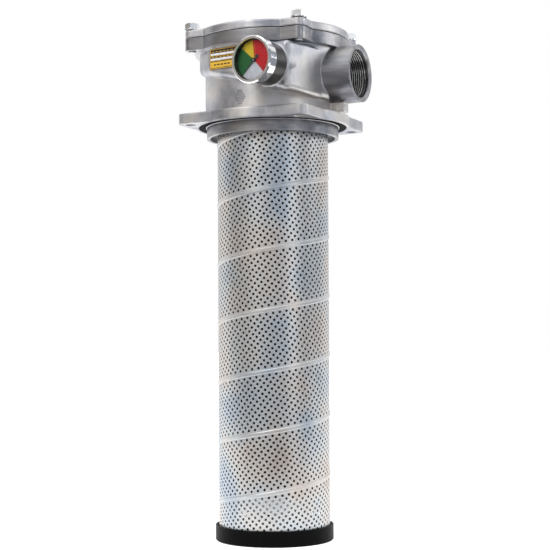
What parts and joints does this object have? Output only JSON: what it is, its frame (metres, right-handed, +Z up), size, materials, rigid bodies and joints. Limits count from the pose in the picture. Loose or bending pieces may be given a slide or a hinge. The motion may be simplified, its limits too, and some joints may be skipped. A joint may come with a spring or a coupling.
{
  "type": "return line filter",
  "caption": "Tank-top hydraulic return line filter: cast head with side port and clogging gauge, over a long perforated steel sleeve",
  "frame": {"origin": "centre of the mounting flange's underside, on the bolt circle's and sleeve's axis", "axes": "+X along the inlet port, outward; +Z up, along the sleeve towards the cover; the gauge faces about -Y"},
  "size_m": [0.18, 0.1915, 0.5306],
  "materials": {
    "cast_aluminium": "as die cast, satin",
    "black_rubber": "matt",
    "zinc_steel": "bright zinc",
    "printed_plate": "printed yellow, black and white",
    "galvanised_steel": "galvanised sheet",
    "black_cap": "satin black",
    "plain_steel": "plain",
    "filter_media": "pleated",
    "spring_steel": "oiled",
    "magnet": "sintered",
    "spacer_plastic": "plain",
    "black_steel": "gloss black",
    "chrome_bezel": "polished",
    "gauge_glass": "clear",
    "dial_white": "printed sectors",
    "pointer_black": "matt",
    "socket_brass": "plain"
  },
  "bodies": {
    "filter": {"head_casting": "cast_aluminium", "flange_seal": "black_rubber", "cover_seal": "black_rubber", "cover": "cast_aluminium", "cover_washers": "zinc_steel", "cover_screws": "zinc_steel", "nameplate": "printed_plate", "sleeve_collar": "galvanised_steel", "perforated_sleeve": "galvanised_steel", "base_cap": "black_cap", "element_top_cap": "plain_steel", "element_seal": "black_rubber", "element_media": "filter_media", "element_core": "plain_steel", "element_bottom_cap": "plain_steel", "bypass_cage": "plain_steel", "bypass_spring": "spring_steel", "hold_down_spring": "spring_steel", "magnet_rod": "plain_steel", "ring_magnets": "magnet", "magnet_spacers": "spacer_plastic", "magnet_nut": "zinc_steel", "gauge_case": "black_steel", "gauge_bezel": "chrome_bezel", "gauge_lens": "gauge_glass", "gauge_dial": "dial_white", "gauge_socket": "socket_brass", "gauge_bourdon": "socket_brass", "gauge_movement": "socket_brass"},
    "bypass_valve": {"bypass_poppet": "plain_steel"},
    "gauge_quadrant": {"gauge_sector": "socket_brass"},
    "gauge_needle": {"gauge_pinion": "plain_steel", "gauge_pointer": "pointer_black"},
    "gauge_rod": {"gauge_link": "socket_brass"}
  },
  "joints": [
    {"name": "bypass_lift", "type": "slide", "parent": "filter", "child": "bypass_valve", "axis": [0, 0, -1], "range_m": [0, 0.006], "stiffness_N_per_m": 2000, "deforming": ["bypass_spring"]},
    {"name": "quadrant_swing", "type": "hinge", "parent": "filter", "child": "gauge_quadrant", "pos_m": [0.04637, -0.09279, 0.04472], "axis": [-0.1219, -0.9925, 0], "range_deg": [0, 30]},
    {"name": "needle_turn", "type": "hinge", "parent": "filter", "child": "gauge_needle", "pos_m": [0.03505, -0.09196, 0.05], "axis": [-0.1219, -0.9925, 0], "range_deg": [-270, 0]},
    {"name": "link_swing", "type": "hinge", "parent": "gauge_quadrant", "child": "gauge_rod", "pos_m": [0.05002, -0.09279, 0.04303], "axis": [-0.1219, -0.9925, 0], "range_deg": [-30, 0]}
  ],
  "couplings": [
    {"joint": "needle_turn", "follows": "quadrant_swing", "ratio": -9},
    {"joint": "link_swing", "follows": "quadrant_swing", "ratio": -1}
  ]
}
